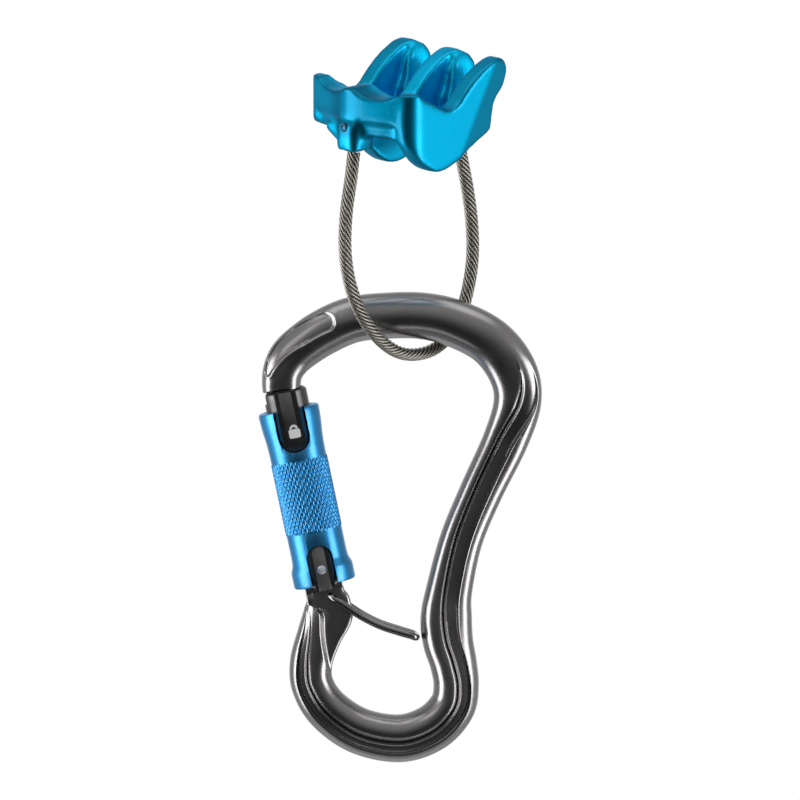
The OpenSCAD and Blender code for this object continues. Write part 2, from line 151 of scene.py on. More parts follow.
def sweep(bm: BMesh, rings: Sequence[Sequence[Vector]], uv: bool = False) -> list[list[BMVert]]:
    """Extrudes a ring of edges from place to place and closes both ends.

    Args:
        bm: The mesh that gets the tube.
        rings: The places of the ring's points, ring by ring.
        uv: Whether the tube gets a map with its length along U and its turn along V.

    Returns:
        The vertices, ring by ring.
    """
    around = len(rings[0])
    ring = bmesh.ops.create_circle(bm, segments=around, radius=1.0)["verts"]
    layer = bm.loops.layers.uv.verify() if uv else None
    laid = [ring]
    run = 0.0
    for v, place in zip(ring, rings[0]):
        v.co = place
    for before, places in zip(rings, rings[1:]):
        edges = [bm.edges.get((ring[k], ring[(k + 1) % around])) for k in range(around)]
        made = bmesh.ops.extrude_edge_only(bm, edges=edges)["geom"]
        twin = {v.co.copy().freeze(): v for v in only_verts(made)}
        following = [twin[v.co.copy().freeze()] for v in ring]
        step = (sum(places, Vector()) - sum(before, Vector())).length / around
        for v, place in zip(following, places):
            v.co = place
        if layer is not None:
            turn = {v: k for k, v in enumerate(ring)} | {v: k for k, v in enumerate(following)}
            old = set(ring)
            for f in (g for g in made if isinstance(g, BMFace)):
                ends = {turn[v] for v in f.verts}
                wraps = ends == {0, around - 1}
                for corner in f.loops:
                    k = turn[corner.vert]
                    k = around if wraps and k == 0 else k
                    corner[layer].uv = (run + (0.0 if corner.vert in old else step), k / around)
        run += step
        ring = following
        laid.append(ring)
    for end in (laid[0], ring):
        bmesh.ops.contextual_create(
            bm, geom=[bm.edges.get((end[k], end[(k + 1) % around])) for k in range(around)])
    return laid


def shown(bm: BMesh, name: str, place: Matrix, material: Material, sharp: float) -> Object:
    """Turns a mesh in the making into a piece whose place is in its mesh.

    Args:
        bm: The mesh, in millimetres in its own frame; it is used up.
        name: The piece's name.
        place: From that frame to the object's frame in metres.
        material: The piece's finish.
        sharp: The angle in degrees above which an edge stays sharp.

    Returns:
        The new object.
    """
    bmesh.ops.transform(bm, matrix=place, verts=bm.verts)
    bmesh.ops.recalc_face_normals(bm, faces=bm.faces)
    mesh = meshed(bm, name)
    mesh.shade_smooth()
    mesh.set_sharp_from_angle(angle=math.radians(sharp))
    mesh.materials.append(material)
    return linked(name, mesh)


def settled(obj: Object) -> Mesh:
    """Gives the mesh of an object with its modifiers applied, and removes the object."""
    mesh = bpy.data.meshes.new_from_object(obj.evaluated_get(bpy.context.evaluated_depsgraph_get()))
    bpy.data.objects.remove(obj)
    return mesh


def stood_for(obj: Object, body: str, slot: str, *nodes: str) -> None:
    """Makes a piece ride on a body, in the place of some solids.

    Args:
        obj: The piece.
        body: The body that it moves with.
        slot: The record's material slot; not used.
        nodes: The solids that it stands for.
    """
    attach(obj, body)
    if nodes:
        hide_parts(*nodes)
    LOG.info("%s: %d faces on %s", obj.name, len(obj.data.polygons), body)


def spun(bm: BMesh, profile: Sequence[Pair], steps: int) -> list[BMVert]:
    """Turns a closed outline of radius and height about Z.

    Args:
        bm: The mesh that gets the shape.
        profile: The outline's points, as radius and height.
        steps: The number of steps of the full turn.

    Returns:
        The shape's vertices.
    """
    before = set(bm.verts)
    verts = [bm.verts.new((r, 0.0, z)) for r, z in profile]
    edges = [bm.edges.new(pair) for pair in zip(verts, [*verts[1:], verts[0]])]
    bmesh.ops.spin(bm, geom=[*verts, *edges], cent=(0, 0, 0), axis=(0, 0, 1), angle=math.tau, steps=steps,
                   use_merge=True, use_duplicate=False)
    made = [v for v in bm.verts if v not in before]
    bmesh.ops.remove_doubles(bm, verts=made, dist=1e-5)
    return [v for v in bm.verts if v not in before]


def add_node(tree: NodeTree, kind: str, inputs: dict[str, float] | None = None) -> Node:
    """Adds a shader node of a kind, with values for some of its inputs."""
    node = tree.nodes.new(f"ShaderNode{kind}")
    for label, value in (inputs or {}).items():
        node.inputs[label].default_value = value
    return node


def colour_mix(tree: NodeTree) -> Node:
    """Adds a node that mixes two colours."""
    node = add_node(tree, "Mix")
    node.data_type = "RGBA"
    return node


def product(tree: NodeTree) -> Node:
    """Adds a node that multiplies two numbers."""
    node = add_node(tree, "Math")
    node.operation = "MULTIPLY"
    return node


def join(tree: NodeTree, *links: tuple[Node, str | int, Node, str | int]) -> None:
    """Links nodes, with each row naming a node, its output, the next node and its input."""
    for source, given, goal, taken in links:
        tree.links.new(source.outputs[given], goal.inputs[taken])


class Texture(Enum):
    """The kind of fine relief that a finish has, as its scale along X, Y and Z."""

    FORGED = (1.0, 1.0, 1.0)
    TURNED = (0.06, 0.06, 1.0)
    DRAWN = (0.15, 1.0, 0.15)
    STRANDED = (1.0, 0.02, 1.0)


class Groups:
    """The shader node groups that the finishes share, each built once."""

    def __init__(self) -> None:
        """Builds all groups."""
        self.grain = self._grain()
        self.wear = self._wear()
        self.drift = self._drift()

    @staticmethod
    def _sheet(name: str, inputs: Sequence[tuple[str, str]], outputs: Sequence[tuple[str, str]]
               ) -> tuple[ShaderNodeTree, Node, Node]:
        """Starts a group with named sockets.

        Args:
            name: The group's name.
            inputs: Socket names and kinds going in.
            outputs: Socket names and kinds going out.

        Returns:
            The group, its input node and its output node.
        """
        tree = bpy.data.node_groups.new(name, "ShaderNodeTree")
        for side, sockets in (("INPUT", inputs), ("OUTPUT", outputs)):
            for label, kind in sockets:
                tree.interface.new_socket(label, in_out=side, socket_type=f"NodeSocket{kind}")
        return tree, tree.nodes.new("NodeGroupInput"), tree.nodes.new("NodeGroupOutput")

    def _grain(self) -> ShaderNodeTree:
        """Fine noise relief and a slow change of roughness."""
        tree, src, out = self._sheet(
            "fine_grain", [("Vector", "Vector"), ("Scale", "Float"), ("Low", "Float"), ("High", "Float")],
            [("Height", "Float"), ("Roughness", "Float")])
        fine = add_node(tree, "TexNoise", {"Detail": 3.0})
        slow = add_node(tree, "TexNoise", {"Scale": 140.0, "Detail": 4.0})
        span = add_node(tree, "MapRange", {"From Min": 0.3, "From Max": 0.7})
        join(tree, (src, "Vector", fine, "Vector"), (src, "Scale", fine, "Scale"),
             (src, "Vector", slow, "Vector"), (slow, "Fac", span, "Value"), (src, "Low", span, "To Min"),
             (src, "High", span, "To Max"), (fine, "Fac", out, "Height"), (span, "Result", out, "Roughness"))
        return tree

    def _wear(self) -> ShaderNodeTree:
        """Rubbed edges: a lighter colour where the surface is convex, broken up by noise."""
        tree, src, out = self._sheet(
            "rubbed_edges",
            [("Vector", "Vector"), ("Color", "Color"), ("Worn", "Color"), ("Amount", "Float")],
            [("Color", "Color")])
        geo = add_node(tree, "NewGeometry")
        edge = add_node(tree, "MapRange", {"From Min": 0.52, "From Max": 0.62})
        noise = add_node(tree, "TexNoise", {"Scale": 420.0, "Detail": 5.0})
        patch = add_node(tree, "MapRange", {"From Min": 0.42, "From Max": 0.66})
        both, much, mix = product(tree), product(tree), colour_mix(tree)
        join(tree, (geo, "Pointiness", edge, "Value"), (src, "Vector", noise, "Vector"),
             (noise, "Fac", patch, "Value"), (edge, "Result", both, 0), (patch, "Result", both, 1),
             (both, 0, much, 0), (src, "Amount", much, 1), (much, 0, mix, "Factor"), (src, "Color", mix, "A"),
             (src, "Worn", mix, "B"), (mix, "Result", out, "Color"))
        return tree

    def _drift(self) -> ShaderNodeTree:
        """A slow drift between two tones of one dye."""
        tree, src, out = self._sheet(
            "dye_drift", [("Vector", "Vector"), ("Color", "Color"), ("Second", "Color"), ("Scale", "Float")],
            [("Color", "Color")])
        noise = add_node(tree, "TexNoise", {"Detail": 2.0})
        span = add_node(tree, "MapRange", {"From Min": 0.35, "From Max": 0.65})
        mix = colour_mix(tree)
        join(tree, (src, "Vector", noise, "Vector"), (src, "Scale", noise, "Scale"),
             (noise, "Fac", span, "Value"), (span, "Result", mix, "Factor"), (src, "Color", mix, "A"),
             (src, "Second", mix, "B"), (mix, "Result", out, "Color"))
        return tree


@dataclass(frozen=True)
class Finish:
    """A surface finish, with colours in linear light.

    The tone drifts to the second tone and is rubbed to the worn one at the edges. Pieces that store a painted
    light mix show the painted light tone where that mix is low: painted shade in the cable's strand gaps, the
    knurl's grooves and the upper gate lands, and paler painted light in the device's slots.
    """

    name: str
    tone: Point
    second: Point
    worn: Point
    rough: Pair
    metallic: float = 1.0
    wear: float = 0.25
    texture: Texture = Texture.FORGED
    grain: float = 5200.0
    relief: float = 0.05
    coat: float = 0.0
    coat_rough: float = 0.1
    turn: float = 0.0
    edge_tint: Point = (1.0, 1.0, 1.0)
    painted_light_tone: Point | None = None

    def material(self, groups: Groups) -> Material:
        """Builds the finish as a node material.

        Args:
            groups: The shared shader groups.

        Returns:
            The material.
        """
        mat = bpy.data.materials.new(self.name)
        mat.use_nodes = True
        tree = mat.node_tree
        shader = tree.nodes["Principled BSDF"]
        shader.inputs["Metallic"].default_value = self.metallic
        shader.inputs["Specular Tint"].default_value = (*self.edge_tint, 1.0)
        shader.inputs["Coat Weight"].default_value = self.coat
        shader.inputs["Coat Roughness"].default_value = self.coat_rough
        where = add_node(tree, "TexCoord")
        source = "UV" if self.texture is Texture.STRANDED else "Object"
        stretch = add_node(tree, "Mapping")
        stretch.inputs["Rotation"].default_value = (0.0, self.turn, 0.0)
        stretch.inputs["Scale"].default_value = self.texture.value
        drift, wear, grain = (self._placed(tree, g) for g in (groups.drift, groups.wear, groups.grain))
        drift.inputs["Color"].default_value = (*self.tone, 1.0)
        drift.inputs["Second"].default_value = (*self.second, 1.0)
        drift.inputs["Scale"].default_value = 60.0
        wear.inputs["Worn"].default_value = (*self.worn, 1.0)
        wear.inputs["Amount"].default_value = self.wear
        grain.inputs["Scale"].default_value = self.grain
        grain.inputs["Low"].default_value, grain.inputs["High"].default_value = self.rough
        bump = add_node(tree, "Bump", {"Strength": self.relief, "Distance": 0.0002})
        tone_mix, shade = drift, "Color"
        # Where a piece stores the mix, the painted light tone shows at 0 and the tone at 1: painted shade or
        # painted light, laid by the piece's mask.
        if self.painted_light_tone is not None:
            ridge = add_node(tree, "Attribute")
            ridge.attribute_name = PAINTED_LIGHT_MIX
            mix = colour_mix(tree)
            mix.inputs["A"].default_value = (*self.painted_light_tone, 1.0)
            join(tree, (ridge, "Fac", mix, "Factor"), (drift, "Color", mix, "B"))
            tone_mix, shade = mix, "Result"
        join(tree, (where, source, stretch, "Vector"), (stretch, "Vector", grain, "Vector"),
             (where, "Object", drift, "Vector"), (where, "Object", wear, "Vector"),
             (tone_mix, shade, wear, "Color"), (wear, "Color", shader, "Base Color"),
             (grain, "Roughness", shader, "Roughness"), (grain, "Height", bump, "Height"),
             (bump, "Normal", shader, "Normal"))
        return mat

    @staticmethod
    def _placed(tree: NodeTree, group: ShaderNodeTree) -> Node:
        """Puts a shared group into a material."""
        node = add_node(tree, "Group")
        node.node_tree = group
        return node


# The device's dark tone carries painted shade on the front wall and rims; its paler painted light tone paints
# light into the slots.
DEVICE_BLUE = Finish("device_blue", (0.0, 0.15, 0.26), (0.0, 0.138, 0.24), (0.1, 0.46, 0.64), (0.38, 0.44),
                     wear=0.12, coat=0.12, coat_rough=0.12, edge_tint=(0.2, 0.6, 0.8), painted_light_tone=(0.0, 0.47, 0.77))
# The sleeve's slightly darker painted light tone is painted shade in the knurl's grooves.
SLEEVE_BLUE = Finish("sleeve_blue", (0.025, 0.235, 0.5), (0.022, 0.218, 0.46), (0.2, 0.44, 0.74),
                     (0.36, 0.42), texture=Texture.TURNED, turn=GATE_LEAN, wear=0.15, coat=0.5,
                     coat_rough=0.15, edge_tint=(0.45, 0.7, 0.9), painted_light_tone=(0.015, 0.2, 0.5))
GUNMETAL = Finish("gunmetal", (0.275, 0.267, 0.268), (0.24, 0.233, 0.234), (0.46, 0.45, 0.45), (0.24, 0.29),
                  wear=0.2, relief=0.006)
GATE_BLACK = Finish("gate_black", (0.09, 0.088, 0.088), (0.075, 0.073, 0.073), (0.25, 0.25, 0.25),
                    (0.28, 0.38), wear=0.2)
# The lands' dark painted light tone is painted shade on the upper lands; the lower lands keep the pale
# polished tone.
GATE_LAND = Finish("gate_land", (0.85, 0.84, 0.82), (0.78, 0.77, 0.75), (0.9, 0.9, 0.9), (0.24, 0.32),
                   wear=0.1, painted_light_tone=(0.2, 0.196, 0.195))
WIRE_STEEL = Finish("wire_steel", (0.22, 0.213, 0.213), (0.18, 0.175, 0.175), (0.5, 0.5, 0.5), (0.12, 0.18),
                    texture=Texture.DRAWN)
# The strands' near-black painted light tone is painted shade in the gaps between strands.
STRAND_STEEL = Finish("strand_steel", (0.29, 0.275, 0.235), (0.24, 0.225, 0.19), (0.45, 0.43, 0.39),
                      (0.30, 0.42), texture=Texture.STRANDED, grain=2600.0, relief=0.3, coat=1.0,
                      coat_rough=0.12, painted_light_tone=(0.02, 0.02, 0.017))
RIVET_STEEL = Finish("rivet_steel", (0.9, 0.9, 0.92), (0.86, 0.86, 0.88), (0.95, 0.95, 0.95), (0.5, 0.56))
PIN_STEEL = Finish("pin_steel", (0.03, 0.06, 0.09), (0.025, 0.05, 0.075), (0.2, 0.25, 0.3), (0.5, 0.6))
# The ferrules' dark blue-grey is painted shade, so that they read as shadow round the cable's ends.
CRIMP_SHADE = Finish("crimp_painted_shade", (0.10, 0.16, 0.2), (0.09, 0.14, 0.18), (0.25, 0.3, 0.32), (0.35, 0.5),
                     relief=0.15)
SPRING_STEEL = Finish("spring_steel", (0.42, 0.42, 0.42), (0.36, 0.36, 0.36), (0.6, 0.6, 0.6), (0.25, 0.35))
PLUNGER_BRASS = Finish("plunger_brass", (0.60, 0.45, 0.18), (0.5, 0.38, 0.15), (0.75, 0.6, 0.3), (0.25, 0.35))
MARK_WHITE = Finish("mark_white", (0.80, 0.80, 0.79), (0.74, 0.74, 0.73), (0.85, 0.85, 0.85), (0.45, 0.6),
                    metallic=0.0)


@dataclass
class BelayDevice:
    """The forged belay device with its cross pins, lengths in millimetres.

    The boss holds the front, half width and top of the part that is rounded most, the corner the front and
    side of the near foot, the wall the front, side and foot of the face that gets the deepest painted shade,
    and the seat the radius and length of what fills the solid's hole round a pin.
    """

    voxel: float = 0.34
    rounding: int = 20
    boss_rounding: int = 40
    boss: Point = (-14.5, 14, 10.5)
    corner: Pair = (-8, -13)
    draw_in: float = 4.0
    crest_from: float = 12
    crest_drop: float = 0.3
    tone_mix: float = 0.58
    slot_painted_light: float = 0.85
    slot_half: float = 14.5
    slot_ends: Pair = (-16, 18)
    wall_painted_shade: float = 0.4
    wall: Point = (-15, 9, 1)
    rim_reach: int = 14
    rim_painted_shade: float = 3.0
    pin_height: float = 5.1
    pin_radius: float = 1.15
    seat: Pair = (1.4, 3.9)
    seat_in: float = 2.0
    pin_faces: tuple[tuple[str, float, float], ...] = (("front", -23.2, -1.0), ("back", 20.15, 1.0))

    def build(self, finish: Material) -> Object:
        """Rounds the forged body over from its solid.

        Args:
            finish: The body's material.

        Returns:
            The body.
        """
        bm = bmesh.new()
        bm.from_mesh(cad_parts["belay_body"].data)
        bmesh.ops.remove_doubles(bm, verts=bm.verts, dist=1e-6)
        for _, face, way in self.pin_faces:
            middle = Matrix.Translation((face - way * self.seat_in, 0, self.pin_height))
            rod(bm, *self.seat, DEVICE @ middle @ Matrix.Rotation(math.pi / 2, 4, "Y"), 32)
        blank = linked("device_blank", meshed(bm, "device_blank"))
        skin = blank.modifiers.new("forged_skin", "REMESH")
        skin.mode = "VOXEL"
        skin.voxel_size = self.voxel * 0.001
        bm = bmesh.new()
        bm.from_mesh(settled(blank))
        bmesh.ops.transform(bm, matrix=DEVICE.inverted(), verts=bm.verts)
        for _ in range(self.rounding):
            smoothed(bm, bm.verts)
        for step in range(self.boss_rounding):
            in_by = self.draw_in * step / self.boss_rounding
            smoothed(bm, [v for v in bm.verts if self._soft(v.co, in_by)])
        for v in bm.verts:
            high = max(0.0, v.co.z - self.crest_from)
            v.co.z -= ease((self.corner[0] - v.co.x) / 3) * self.crest_drop * high
        # Paints shade onto the front wall and rims and light into the slots, through the stored colour mix.
        self._paint_light(bm)
        return shown(bm, "belay_device_body", DEVICE, finish, 80.0)

    def _soft(self, place: Vector, in_by: float) -> bool:
        """Says whether a place is in the front boss or the near corner, both drawn in by some way."""
        s, y, z = place
        front, half, top = self.boss
        return (s < front - in_by and z < top - in_by and abs(y) < half - in_by
                or s < self.corner[0] - in_by and y < self.corner[1] - in_by)

    def _paint_light(self, bm: BMesh) -> None:
        """Stores the colour mix that paints shade onto the front wall and the rims and paints light into the
        slots.

        Args:
            bm: The rounded body, which keeps its shape.
        """
        layer = bm.verts.layers.float.new(PAINTED_LIGHT_MIX)
        bm.normal_update()
        places = [(v, v.co.copy(), v.normal.copy()) for v in bm.verts]
        for _ in range(self.rim_reach):
            smoothed(bm, bm.verts)
        start, end = self.slot_ends
        front, side, foot = self.wall
        for v, place, normal in places:
            s, y, z = place
            slot = (ease((self.slot_half - abs(y)) / 1.5) * ease((s - start) / 2) * ease((end - s) / 2)
                    * ease((z + 1) / 4))
            rim = (place - v.co).dot(normal) * self.rim_painted_shade
            wall = ease((front - s) / 3) * ease((side - y) / 6) * ease((z - foot) / 4)
            # Painted light in the slots, painted shade on the front wall and on the convex rims.
            depth = self.tone_mix * (1 - self.slot_painted_light * slot) + self.wall_painted_shade * wall + rim
            v[layer] = min(1.0, max(0.0, depth))
            v.co = place

    def pins(self, finish: Material) -> dict[str, Object]:
        """Turns the two cross pins, each with a small socket in its face.

        Args:
            finish: The pins' material.

        Returns:
            The pins by the end that they hold.
        """
        made = {}
        for end, face, way in self.pin_faces:
            bm = bmesh.new()
            r = self.pin_radius
            spun(bm, [(0.0, -0.55), (0.42, -0.5), (0.58, -0.02), (r - 0.12, 0.0), (r, -0.12), (r, -4.6),
                      (0.0, -4.6)], 40)
            bmesh.ops.transform(bm, matrix=Matrix.Translation((face + way * 0.1, 0, self.pin_height))
                                @ Matrix.Rotation(way * math.pi / 2, 4, "Y"), verts=bm.verts)
            made[end] = shown(bm, f"{end}_cross_pin", DEVICE, finish, 30.0)
        return made


@dataclass
class KeeperCable:
    """The stranded keeper cable, lengths in millimetres in the device's middle plane.

    A strand goes once round in the lay, and the gap is the share of it that fades to shade.
    """

    diameter: float = 3.3
    strands: int = 9
    facets: int = 9
    lay: float = 13.0
    gap: float = 0.55
    spans: int = 16
    route: list[Pair] = field(default_factory=lambda: [
        (-19.5, -1.6), (-20.5, -8), (-22.2, -17), (-22.6, -26), (-21.2, -34), (-18.3, -41), (-14.2, -47.1),
        (-9.2, -52.1), (-3.5, -55.6), (2.8, -57.1), (9.3, -56.6), (14.9, -53.5), (18.9, -48), (21.4, -41),
        (22.4, -34), (22, -26), (20.6, -18), (18.5, -9.5), (16.5, -1.6)])

    def line(self) -> list[Vector]:
        """Gives the middle line of the cable, in the device's frame."""
        return [Vector((s, 0.0, z)) for s, z in through(self.route, self.spans)]

    def path(self) -> list[Vector]:
        """Gives the middle line of the cable, in metres in the object's frame."""
        return [DEVICE @ p for p in self.line()]

    def build(self, finish: Material) -> Object:
        """Twists a lobed ring of strands along the route.

        Args:
            finish: The strands' material.

        Returns:
            The cable.
        """
        line = self.line()
        across = Vector((0, 1, 0))
        around = self.strands * self.facets
        outer = self.diameter / 2
        wire = outer * math.sin(math.pi / self.strands) / (1 + math.sin(math.pi / self.strands))
        reach = outer - wire
        rings, run = [], 0.0
        for i, p in enumerate(line):
            side = heading(line, i).cross(across).normalized()
            run += (p - line[i - 1]).length if i else 0.0
            ring = []
            for k in range(around):
                a = math.tau * k / around
                off = (a * self.strands / math.tau) % 1.0 - 0.5
                bend = off * math.tau / self.strands
                r = reach * math.cos(bend) + math.sqrt(max(0.0, wire ** 2 - (reach * math.sin(bend)) ** 2))
                b = a + math.tau * run / self.lay
                ring.append(p + r * (math.cos(b) * side + math.sin(b) * across))
            rings.append(ring)
        bm = bmesh.new()
        layer = bm.verts.layers.float.new(PAINTED_LIGHT_MIX)
        # Painted shade: each strand's edges fade to the near-black tone in the gaps between strands.
        for k, column in enumerate(zip(*sweep(bm, rings, uv=True))):
            for v in column:
                v[layer] = ease((1 - abs((k / self.facets) % 1.0 - 0.5) * 2) / self.gap)
        return shown(bm, "keeper_cable_strands", DEVICE, finish, 60.0)


@dataclass(frozen=True)
class NoseRecess:
    """The long recess on the nose, lengths in millimetres along the bar from its end and across it."""

    ends: Pair = (3.0, 20.2)
    taper: Pair = (2.5, 19.5)
    half: Pair = (0.2, 2.3)
    full_at: float = 0.55
    corner: float = 2.4
    middle: Pair = (3.6, 1.4)
    deep: float = 0.7
    wall: float = 0.5
    rim: Point = (0.16, 0.35, 0.3)

    def depth(self, run: float, across: float) -> float:
        """Gives the recess's depth at a place, which is less than nothing on its fine raised rim."""
        t = min(1.0, max(0.0, (run - self.taper[0]) / self.taper[1]))
        slim = self.half[0] + self.half[1] * math.sqrt(min(1.0, t / self.full_at))
        turn = min(slim, self.corner)
        wide = max(0.0, abs(across - self.middle[0] + self.middle[1] * t) - slim + turn)
        edge = math.hypot(max(0.0, run - self.ends[1], self.ends[0] - run), wide) - turn
        high, out, width = self.rim
        return self.deep * ease(-edge / self.wall) - high * math.exp(-((edge - out) / width) ** 2)


@dataclass
class CarabinerFrame:
    """The forged carabiner frame, lengths in millimetres from the bar's centre at the top of the large bow.

    A station holds: across, up, width, depth, squareness, then the channel's middle and half width as shares
    of half the bar, its depth, and, where the bar isn't whole, the share below which it is only a thin plate.
    The tang, its cam lobe and the blocks of hinge and nose key are placed along the gate from its hinge.
    """

    zones: tuple[int, ...] = (8, 5, 5, 5, 14, 5, 8)
    spans: int = 26
    plate: float = 3.0
    plate_run: float = 0.3
    whole: float = -1.4
    channel_wall: float = 0.42
    belly: float = 0.25
    belly_channel: float = 1.2
    recess: NoseRecess = NoseRecess()
    nose_way: Pair = (-0.3, 0.954)
    hinge_way: Pair = (-0.2, 0.98)
    nose_round: Pair = (0.93, 0.35)
    tang: Pair = (5.0, 5.0)
    lobe: Pair = (1.6, 5.0)
    lobe_at: Point = (2.13, 0, 4.19)
    blocks: tuple[tuple[Point, Point], ...] = (
        ((-0.55, 0, -3.75), (9.5, 5, 7.5)), ((-4.3, 0, -7.0), (2, 5.9, 2.9)), ((-0.5, 0, 45.5), (6, 4, 4)))
    block_edge: float = 0.3
    stations: list[Row] = field(default_factory=lambda: [
        (-35.05, -17.6, 9.7, 10, 2.6, .67, .06, 0), (-34.75, -14, 10.1, 10.4, 2.4, .67, .17, 0),
        (-33.2, -10.6, 10.8, 10.6, 2.2, .605, .315, 0), (-30.2, -7.6, 11.2, 10.8, 2, .53, .407, 0),
        (-24.4, -3.7, 11.6, 11, 2, .426, .431, 0), (-17.2, -.6, 11.6, 11.2, 2, .37, .42, 0),
        (-9, .4, 11.6, 11.2, 2, .4, .3, 0), (0, .4, 11.7, 11.2, 2, .5, .2, 0),
        (8, -1.4, 12, 11.2, 2, .6, .2, 0), (17, -6, 12.2, 11, 2.1, .62, .2, 0),
        (22.6, -13.2, 12.4, 10.6, 2.3, .58, .26, .1), (24, -21, 12, 10.2, 2.5, .44, .4, .9),
        (21, -30.8, 11.4, 9.6, 2.7, .06, .38, 1.5), (15, -43.5, 10.8, 9.6, 2.7, .05, .39, 1.6),
        (10, -55.6, 10.8, 9.6, 2.7, .1, .38, 1.6), (7, -68, 11.6, 9.6, 2.7, .15, .34, 1.5),
        (6.2, -75, 12.9, 10, 2.6, .2, .31, 1.3), (6.6, -81, 12.7, 10.2, 2.5, .25, .3, 1.2),
        (8, -86.8, 11.8, 10.5, 2.4, .32, .3, 1.2), (8.7, -92.4, 11.4, 10.6, 2.4, .38, .29, 1.2),
        (7.6, -97.8, 11.6, 10.6, 2.4, .4, .29, 1.2), (2.6, -103, 11.9, 10.6, 2.4, .41, .29, 1.2),
        (-5.4, -105.6, 12, 10.6, 2.4, .41, .29, 1.2), (-15.4, -103.8, 11.7, 10.6, 2.4, .41, .29, 1.2),
        (-23.2, -98.6, 11.2, 10.6, 2.4, .41, .29, 1.2), (-27.2, -92.4, 10.7, 10.4, 2.4, .42, .28, 1.1, -1.2),
        (-27.6, -86.4, 10.7, 10.2, 2.4, .44, .25, 1, -1), (-25.6, -79.8, 11.2, 10, 2.4, .6, .17, .5, -.33),
        (-23.5, -74.8, 12.4, 10, 2.3, .84, .08, 0, .12), (-23.2, -73, 12, 9.6, 2.5, .84, .08, 0, .36),
        (-23.1, -72.2, 11.6, 8.2, 3.2, .84, .08, 0, .9), (-23, -71, 10.4, 6.4, 4, .84, .08, 0, 1.4),
        (-23.35, -69.5, 8.8, 6.1, 4.6, .84, .08, 0, 1.4), (-23.6, -68.3, 8.4, 6, 5, .84, .08, 0, 1.4)])

    def section(self, row: Row, run: float) -> list[Pair]:
        """Gives the bar's outline at one place.

        Args:
            row: The station there, with all nine values.
            run: The way along the bar from its nose.

        Returns:
            The outline's points, as across the bar and away from its middle plane.
        """
        _, _, width, depth, square, middle, half, deep, thin = row
        flat = (1 - self.channel_wall) * half
        inner = min(max(thin + self.plate_run, -0.8), middle - half - 0.05)
        marks = (1.0, middle + half, middle + flat, middle - flat, middle - half, inner,
                 min(max(thin, -0.92), inner - 0.06), -1.0)
        turns = [math.acos(math.copysign(abs(x) ** (square / 2), x)) for x in marks]
        angles = [a + (b - a) * k / n for a, b, n in zip(turns, turns[1:], self.zones) for k in range(n)]
        front = []
        for a in angles[1:]:
            x = math.copysign(abs(math.cos(a)) ** (2 / square), math.cos(a))
            y = depth / 2 * abs(math.sin(a)) ** (2 / square)
            if x < middle - half + 0.001:
                bend = (2 * x + 1 - middle + half) / (1 + middle - half)
                hollow = self.belly * min(1.0, deep / self.belly_channel)
                y *= 1 - hollow * (1 - math.sqrt(max(0.0, 1 - bend * bend)))
            y -= deep * ease((1 - abs(x - middle) / half) / self.channel_wall) * min(1.0, y / 2)
            y -= self.recess.depth(run, x * width / 2) * min(1.0, y / 3)
            sheet = self.plate * (1 - min(1.0, abs(x)) ** 8) ** 0.125
            front.append((width / 2 * x, sheet + (y - sheet) * ease((x - thin) / self.plate_run)))
        return [(width / 2, 0.0), *front, (-width / 2, 0.0), *((x, -y) for x, y in reversed(front))]

    def build(self, finish: Material) -> Object:
        """Sweeps the bar and adds the hinge tang and the nose key.

        Args:
            finish: The frame's material.

        Returns:
            The frame.
        """
        rows = through([(*row, self.whole)[:9] for row in self.stations], self.spans)
        down = Vector((math.sin(GATE_LEAN), -math.cos(GATE_LEAN)))
        rings, run = [], 0.0
        for i, row in enumerate(rows):
            near, far = rows[max(i - 1, 0)], rows[min(i + 1, len(rows) - 1)]
            t = Vector((far[0] - near[0], far[1] - near[1])).normalized()
            t = Vector(self.nose_way if i == 0 else self.hinge_way if i == len(rows) - 1 else t)
            run += math.dist(row[:2], rows[i - 1][:2]) if i else 0.0
            points = self.section(row, run)
            rings.append([Vector((row[0] - x * t.y, y, row[1] + x * t.x)) for x, y in points])
        centre = Vector((rows[0][0], 0, rows[0][1]))
        shrink, back = self.nose_round
        cap = [centre + (p - centre) * shrink for p in rings[0]]
        rings[0] = [p - Vector((down.x, 0, down.y)) * back for p in rings[0]]
        rings.insert(0, cap)
        bm = bmesh.new()
        sweep(bm, rings)
        bmesh.ops.transform(bm, matrix=CARABINER, verts=bm.verts)
        bar = set(bm.verts)
        rod(bm, *self.tang, ACROSS)
        rod(bm, *self.lobe, Matrix.Translation(self.lobe_at) @ ACROSS, 24)
        trims = [v for centre, size in self.blocks for v in block(bm, centre, size)]
        bevelled(bm, list({e for v in trims for e in v.link_edges}), self.block_edge)
        bmesh.ops.transform(bm, matrix=GATE, verts=[v for v in bm.verts if v not in bar])
        return shown(bm, "carabiner_bar", Matrix.Identity(4), finish, 45.0)


